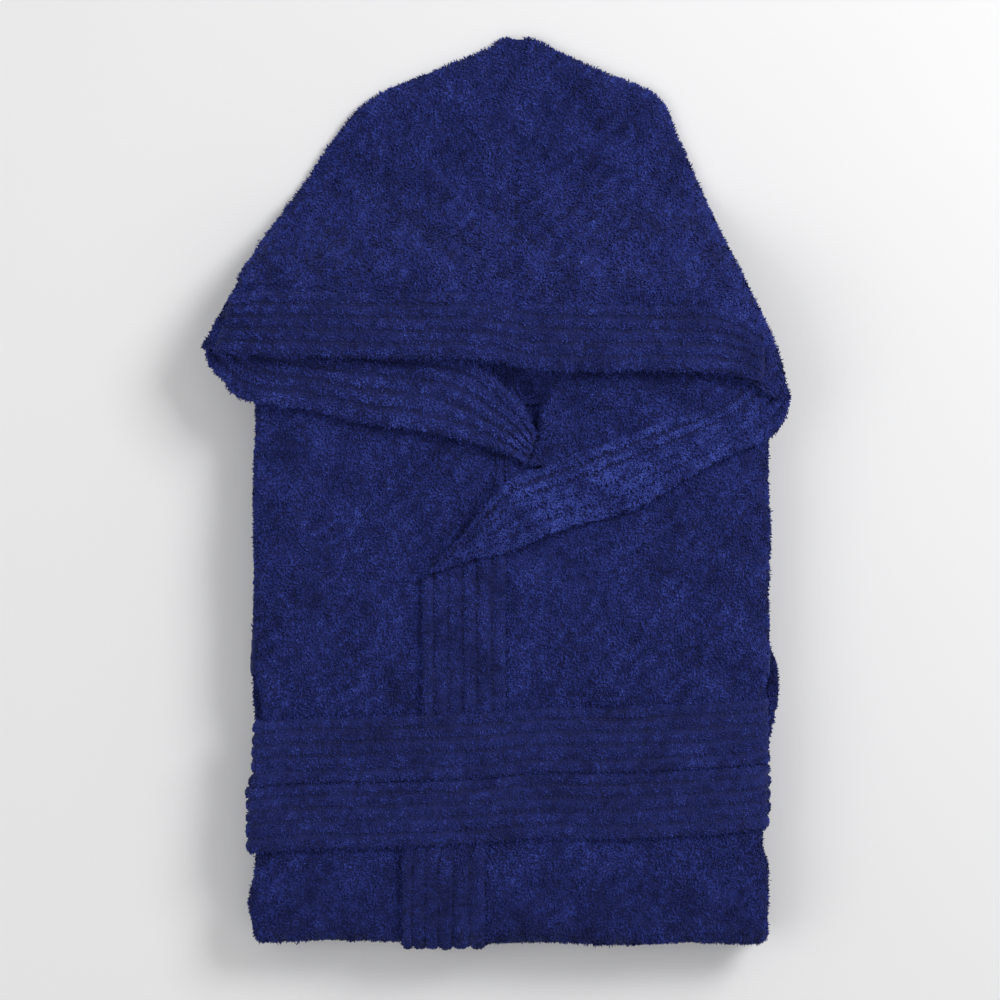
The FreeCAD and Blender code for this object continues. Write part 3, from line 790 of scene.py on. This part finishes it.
def hood_half(node, outline, sign, brim_line, neck_line):
    """Half of the hood, lying flat: the upper layer from the centre seam out to the side
    fold, a half circle round the fold, and the lower layer back to the seam. Its lines
    run from the brim, or below from the neck, and draw together at the tip."""
    edge = through(outline, 400)
    order = np.argsort(edge[:, 1])
    seam, brim_at, neck_at = np.array(hood_seam), np.array(brim_line), np.array(neck_line)
    columns, turns, lowers = 54, 7, 16
    u = np.concatenate([np.linspace(0, 1, columns) ** 0.9, np.ones(turns),
                        np.linspace(1, 0, lowers)])
    swing = np.concatenate([np.zeros(columns), np.linspace(0, math.pi, turns + 2)[1:-1],
                            np.full(lowers, math.pi)])
    first_x = seam[0, 0] + (outline[0][0] - seam[0, 0]) * u
    brim_order, neck_order = np.argsort(brim_at[:, 0]), np.argsort(neck_at[:, 0])
    start_up = np.interp(first_x, brim_at[brim_order, 0], brim_at[brim_order, 1])
    start_low = np.interp(first_x, neck_at[neck_order, 0], neck_at[neck_order, 1])
    share = (1 - np.cos(swing)) / 2
    start = start_up * (1 - share) + start_low * share
    row = 1 - (1 - np.linspace(0, 1, 86)) ** 1.25
    y = start + (tip_y - 0.8 - start) * row[:, None]
    x_edge = np.interp(y, edge[order, 1], edge[order, 0])
    x_seam = np.interp(y, seam[:, 1], seam[:, 0])
    ease = np.clip((tip_y - y) / 22, 0.12, 1)
    laid = 1 - smooth_step(lower_height(y), 2, 20)
    z_edge = upper_height(y) + 1.0 + 1.2 * laid
    z_low = lower_height(y) + 1.5 + 1.3 * laid
    radius = np.minimum((z_edge - z_low) / 2, 8.0)
    inner = x_edge - sign * radius
    x = x_seam + (inner - x_seam) * u + sign * radius * np.sin(swing)
    crown = 1 - np.clip(1 - np.abs(x_edge - x) / 34, 0, 1) ** 2
    puff = 2.6 * ripple(x, y, 105, 41) + 0.9 * ripple(x, y, 38, 42)
    seam_dip = -1.8 * np.exp(-((x - x_seam) / 4.5) ** 2)
    crease = -2.4 * np.exp(-(((y - 169) + 0.13 * (x - 25)) / 4.5) ** 2) * (
        smooth_step(x, 10, 34) - smooth_step(x, 88, 118))
    on_top = smooth_step(z_edge, 14, 40)
    rise = (puff * (0.35 + 0.65 * on_top) * ease + 3.2 * ease + seam_dip + crease) * crown
    rise *= 0.12 + 0.88 * smooth_step(y - start, 20, 52)
    z = np.where(swing == 0, z_edge + rise, z_edge + (z_low - z_edge) * share)
    mid = soften(np.stack([x, y, z], -1))
    if sign > 0:
        mid = mid[:, ::-1]
    made, top, low, normal = shell(node, mid, 1.0, 1.0, towelling)
    flip = 1 if normal[10, 10 if sign < 0 else -10, 2] > 0 else -1
    outer, underside = (top, low) if flip > 0 else (low, top)
    banded = (y - start < 32) & (swing == 0) & (np.abs(x) < 178)
    keep = cell_mean(np.where(banded, 0.0, 0.95))
    keep[:, columns + 4:] = 0.45
    inside = np.zeros_like(keep)
    inside[:20, -lowers:] = 1
    fold = columns + 3
    if sign > 0:
        keep, inside = keep[:, ::-1], inside[:, ::-1]
        fold = outer.shape[1] - 1 - fold
    nap(made, outer, normal * flip, "hood", 1.0, keep, 2.3)
    nap(made, underside, -normal * flip, "hood", 0.9, inside, 2.2)
    fringe(made, outer[:, fold], (normal * flip)[:, fold], "hood", 3.2, 2.8)
    declare(made, node, "hood")
    return made


hood_right = hood_half(
    "hood_right_half", left_outline, -1,
    [(-203.7, 101), (-194, 99), (-158, 96.5), (-74, 95), (-22, 95), (14, 91)],
    [(-203.7, 101), (-190, 118), (-165, 108), (-130, 96), (-52, 80), (14, 62)])
hood_left = hood_half(
    "hood_left_half", right_outline, 1,
    [(14, 91), (30, 87), (61, 86), (131, 86), (175, 82.5), (187, 78), (203.7, 66)],
    [(14, 62), (203.7, 64)])


# ---- brim and collar ----
def lift(plan, z):
    """A plan line raised to height z."""
    return np.column_stack([plan, np.broadcast_to(z, len(plan))])


def band_between(node, lower, upper, z_low, z_high, width, rows, body, flat, held, rests,
                 **more):
    """A stitched band between two smooth plan lines, each at its own height."""
    a, b = through(lower, 120), through(upper, 120)
    stitched_band(node, lift(a, z_low), lift(b, z_high), width, rows, body, flat, held,
                  rests, **more)


collar_rows = np.array([9.0, 18.0, 27.0, 36.0])
# Painted light: shade makes the hood band's pile a little lighter.
band_between(
    "hood_band",
    [(-197, 98), (-175, 97), (-130, 95), (-74, 94), (-22, 94), (6, 90.6), (30, 85.5),
     (80, 85), (131, 85), (165, 83), (188, 76.6)],
    [(-183, 138), (-160, 139), (-120, 139), (-74, 138), (-22, 138), (6, 135), (30, 131),
     (80, 130), (131, 129), (160, 127), (188, 112)],
    63.5, 64.0, 44.0, collar_rows, "hood", (47.0, 400.0), "folded",
    [hood_left, hood_right], thick=2.5, base=1.0, both=True, shade=0.06)
# Painted light: shade makes the right collar's pile lighter.
band_between(
    "right_collar_band",
    [(-203, 100), (-200, 90), (-190, 79), (-181, 69), (-168.7, 64), (-130, 58.4),
     (-96, 50), (-61.6, 45.2), (-26.6, 38.2), (-5.6, 31.9), (9.8, 26.5), (22, 20)],
    [(-186, 139), (-178, 126), (-165, 119), (-150, 114), (-130, 110), (-90, 105),
     (-52, 103), (-22, 98), (-4, 87), (6, 75), (19, 60), (29, 40)],
    50.8, 50.2, 46.0, collar_rows, "robe", (47.0, 300.0), "folded",
    [right_front], thick=3.2, base=1.1, shade=0.25, both=True,
    blending=("robe", "hood", (-60, 0, 0), (-190, 0, 0)))


def painted_lapel_sheen(x, y):
    """How much lighter the pile of the turned-back lapel is painted, a painted sheen for
    the light that it catches as its pile leans the other way: most in the middle of its length."""
    streak = 0.5 + 0.5 * ripple(x, y, 26, 25)
    return (0.38 + 0.2 * streak) * (smooth_step(x, -38, 30) - 0.6 * smooth_step(x, 105, 180))


# Painted sheen: the lapel's pile is made lighter through shade, for the light that it catches.
band_between(
    "left_collar_band",
    [(-47, -55), (-31, -52), (-14, -45), (8, -42), (34, -30), (55, -23), (101, -9.5),
     (132, 9.5), (161, 25), (190, 38), (200, 50), (203, 62)],
    [(-44, -52), (-24, -32), (-4, -6), (14, 10), (44, 21), (73, 33), (104, 44), (132, 53),
     (154, 64), (172, 78), (184, 94), (190, 110)],
    51.6, 52.2, 46.0, np.array([10.0, 20.0, 30.0, 39.0]), "robe", (47.0, 330.0), "folded",
    [left_front], thick=3.3, base=1.1, shade=painted_lapel_sheen, both=True, density=1.7,
    blending=("robe", "hood", (110, 0, 0), (190, 0, 0)))


# ---- inside of the neck ----
def lining():
    """The facing inside the neck: plain cloth from the collar's inner seam up to where
    it goes out of sight under the brim, rolled down along its edge at the opening."""
    lower = through([(21, 20), (34, 19), (50, 20), (75, 30), (104, 40), (132, 49),
                     (154, 60), (172, 74), (187, 96)], 90)
    upper = through([(44, 88), (54, 104), (68, 111), (84, 114), (110, 116), (132, 117),
                     (154, 118), (172, 119), (188, 121)], 90)
    t = np.linspace(0, 1, 40)[None, :, None]
    plan = lower[:, None] * (1 - t) + upper[:, None] * t
    from_roll = np.linspace(0, 165, 90)[:, None] * np.ones((1, 40))
    z = 52.0 + 1.2 * np.exp(-((from_roll - 9) / 8) ** 2) - 9 * np.exp(-from_roll / 2.6)
    z = z + 0.8 * ripple(plan[..., 0], plan[..., 1], 42, 51)
    mid = face_up(soften(np.dstack([plan, z]), False), 30)
    made, top, low, normal = shell("neck_facing", mid, 0.8, 0.8, towelling)
    nap(made, top, normal, "robe", 1.0)
    nap(made, low, -normal, "robe", 0.6)
    declare(made, "neck_facing", "robe",
            blending=("robe", "hood", (0, 60, 0), (0, 100, 0)))


lining()


def tape_strip(node, corner_low, corner_high):
    """A short length of flat woven tape, too narrow to count as a sheet, with its ends
    turned down a little."""
    low, high = np.array(corner_low, float), np.array(corner_high, float)
    count = 24
    along_x = high[0] - low[0] > high[1] - low[1]
    t, w = np.linspace(0, 1, count), np.linspace(0, 1, 7)
    a, b = np.meshgrid(t if along_x else w, w if along_x else t, indexing="ij")
    x, y = low[0] + (high[0] - low[0]) * a, low[1] + (high[1] - low[1]) * b
    end = np.minimum(a if along_x else b, 1 - (a if along_x else b))
    z = (low[2] + high[2]) / 2 - 0.3 * (1 - smooth_step(end, 0, 0.12))
    mid = soften(np.stack([x, y, z + 0 * x], -1), False)
    mid = mid if grid_normals(mid)[3, 3, 2] > 0 else mid[:, ::-1]
    made = shell(node, mid, 0.45, 0.45, tape)[0]
    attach(made, "robe")
    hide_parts(node)


for node in ("left_belt_loop", "right_belt_loop"):
    tape_strip(node, *box_mm(node))
loop_low, loop_high = box_mm("hanging_loop")
tape_strip("hanging_loop", loop_low, loop_high - np.array([0, 0, 1.1]))


# ---- sleeves and cuffs under the robe ----
def flat_tube(y, x_in, way):
    """Middle surface of a flattened sleeve. Its section at each y goes along the bottom,
    round the outer edge, back along the top and round the inner edge, which is at x_in.
    The outer edge is tucked under the robe, then bulges a little past its side."""
    low_z, high_z, radius, count = 1.15, 3.35, 1.1, 34
    side_x, peak = (body_right, 12.5) if way > 0 else (body_left, 4.5)
    y, x_in = y[:, None], np.broadcast_to(x_in, y.shape)[:, None]
    bulge = peak * smooth_step(-y, 90, 128) * (1 - smooth_step(-y, 176, 212))
    tucked = 7.0 * smooth_step(y, -60, 60) + 4.0 * smooth_step(-y, 190, 214)
    x_out = side_x + way * (bulge - 2.5 - tucked) + 0.8 * ripple(y, y * 0, 60, 61)
    turn = np.linspace(0, math.pi, 7)[1:-1]
    run = np.linspace(0, 1, count)
    middle = (low_z + high_z) / 2
    inner, outer = x_in + way * radius, x_out - way * radius
    x = np.hstack([inner + (outer - inner) * run, outer + way * radius * np.sin(turn),
                   outer + (inner - outer) * run, inner - way * radius * np.sin(turn), inner])
    z = np.concatenate([np.full(count, low_z), middle - radius * np.cos(turn),
                        np.full(count, high_z), middle + radius * np.cos(turn),
                        [low_z + 0.2]])
    return np.stack(np.broadcast_arrays(x, y, z), -1)


def sleeve(side):
    """A sleeve, which narrows evenly to its cuff, and the cuff."""
    way = 1 if side == "left" else -1
    low, high = box_mm(side + "_sleeve")
    cuff_low, cuff_high = box_mm(side + "_cuff")
    inner_top = low[0] if way > 0 else high[0]
    inner_end = cuff_low[0] if way > 0 else cuff_high[0]
    y = np.linspace(high[1], low[1] + 0.3, 60)
    share = (high[1] - y) / (high[1] - low[1])
    mid = flat_tube(y, inner_top + (inner_end - inner_top) * share, way)
    if grid_normals(mid)[20, 50, 2] < 0:
        mid = mid[:, ::-1]
    made, top, _, normal = shell(side + "_sleeve", mid, 0.85, 0.85, towelling)
    body = side + "_arm"
    nap(made, top, normal, body, 0.6, cell_mean((normal[..., 2] > 0.1).astype(float)), 1.8, 10)
    edge = int(np.argmax(way * mid[5, :, 0]))
    fringe(made, mid[:, edge], normal[:, edge], body, 2.2, 2.4)
    declare(made, side + "_sleeve", body)
    ends = np.array([cuff_low[1] + 0.5, cuff_high[1] - 0.3])
    edges = flat_tube(ends, inner_end, way)[::-way]
    stitched_band(side + "_cuff", edges[1], edges[0], 60.0,
                  np.array([9.0, 19.0, 29.0, 39.0, 49.0]), body, (60.0, 300.0), "laid", [],
                  thick=1.5, base=0.8, density=0.6, settle=False)


for side in ("left", "right"):
    sleeve(side)


# ---- patch pockets, folded away inside ----
def pocket(side):
    """A patch pocket with its band: across the front's inner face, round the side fold
    in a half circle, and back until its flat width is used up."""
    pocket_width, rim = 165.0, 19
    way = 1 if side == "left" else -1
    (x_low, y_low, z_low), (x_high, y_high, z_high) = box_mm(side + "_pocket")
    hem_low, hem_high = box_mm(side + "_pocket_band")
    inner, outer = (x_low, x_high)[::way]
    radius = (z_high - z_low) / 2 - 1
    middle = (z_high + z_low) / 2
    centre = outer - way * (radius + 1)
    turn = np.linspace(0, math.pi, 9)
    upper = pocket_width - abs(centre - inner) - math.pi * radius
    x = np.concatenate([np.linspace(inner, centre, 16)[:-1], centre + way * radius * np.sin(turn),
                        np.linspace(centre, centre - way * upper, 8)[1:]])
    z = np.concatenate([np.full(15, middle - radius), middle - radius * np.cos(turn),
                        np.full(7, middle + radius)])
    y = np.linspace(y_high - 0.5, y_low + 0.5, 26)
    mid = np.stack(np.broadcast_arrays(x, y[:, None], z), -1)
    at_side = np.clip(1 - np.abs(mid[..., 0] - outer) / 12, 0, 1)
    mid[..., 0] -= way * at_side * (1.2 + 3.0 * smooth_step(mid[..., 1], y_high - 30, y_high))
    mid = soften(mid, False)
    made, top, low, normal = shell(side + "_pocket", mid, 0.8, 0.8, towelling)
    turned = np.sign(normal[10, rim, 0]) * way
    nap(made, top if turned > 0 else low, normal * turned, "robe", 0.9,
        cell_mean((at_side > 0).astype(float)), 1.6)
    for column in (rim - 2, rim, rim + 2):
        fringe(made, mid[:, column], (normal * turned)[:, column], "robe", 1.6, 2.4)
    declare(made, side + "_pocket", "robe")
    low_edge, high_edge = (np.stack(np.broadcast_arrays(x, level, z), -1)
                           for level in (hem_low[1] + 0.5, hem_high[1] - 0.5))
    stitched_band(side + "_pocket_band", low_edge, high_edge, 34.0,
                  np.array([9.0, 17.0, 25.0]), "robe", (35.0, pocket_width), "folded",
                  [made], thick=0.9, base=0.6, density=0.1, pile_length=1.2)


for side in ("left", "right"):
    pocket(side)

# ---- camera, floor and lights ----
scene = bpy.context.scene
camera = bpy.data.objects.new("camera", bpy.data.cameras.new("camera"))
scene.collection.objects.link(camera)
camera.location = (3.5 * MM, -5.25 * MM, 2.247)
sensor_width, view_width, view_distance = 36, 700, 2200
camera.data.lens = sensor_width * view_distance / view_width
camera.data.sensor_width = sensor_width
scene.camera = camera

floor_mesh = bpy.data.meshes.new("floor")
floor_mesh.from_pydata([(-4, -4, 0), (4, -4, 0), (4, 4, 0), (-4, 4, 0)], [], [(0, 1, 2, 3)])
floor_mesh.materials.append(seamless_paper())
floor = bpy.data.objects.new("floor", floor_mesh)
scene.collection.objects.link(floor)


def softbox(name, place, aim, size, power):
    """A large square softbox that faces the point aim."""
    made = bpy.data.objects.new(name, bpy.data.lights.new(name, "AREA"))
    made.data.shape = "SQUARE"
    made.data.size = size
    made.data.energy = power
    scene.collection.objects.link(made)
    made.location = place
    made.rotation_mode = "QUATERNION"
    made.rotation_quaternion = (Vector(aim) - Vector(place)).to_track_quat("-Z", "Y")


softbox("key_softbox", (1.5, 1.15, 1.6), (0, 0.05, 0), 1.0, 37)
softbox("fill_softbox", (-1.6, -0.4, 1.8), (0, 0, 0), 1.6, 12)
world = bpy.data.worlds.new("studio")
world.use_nodes = True
background = world.node_tree.nodes["Background"]
background.inputs["Color"].default_value = (1.0, 1.0, 1.0, 1.0)
background.inputs["Strength"].default_value = 0.48
scene.world = world
scene.view_settings.view_transform = "Standard"
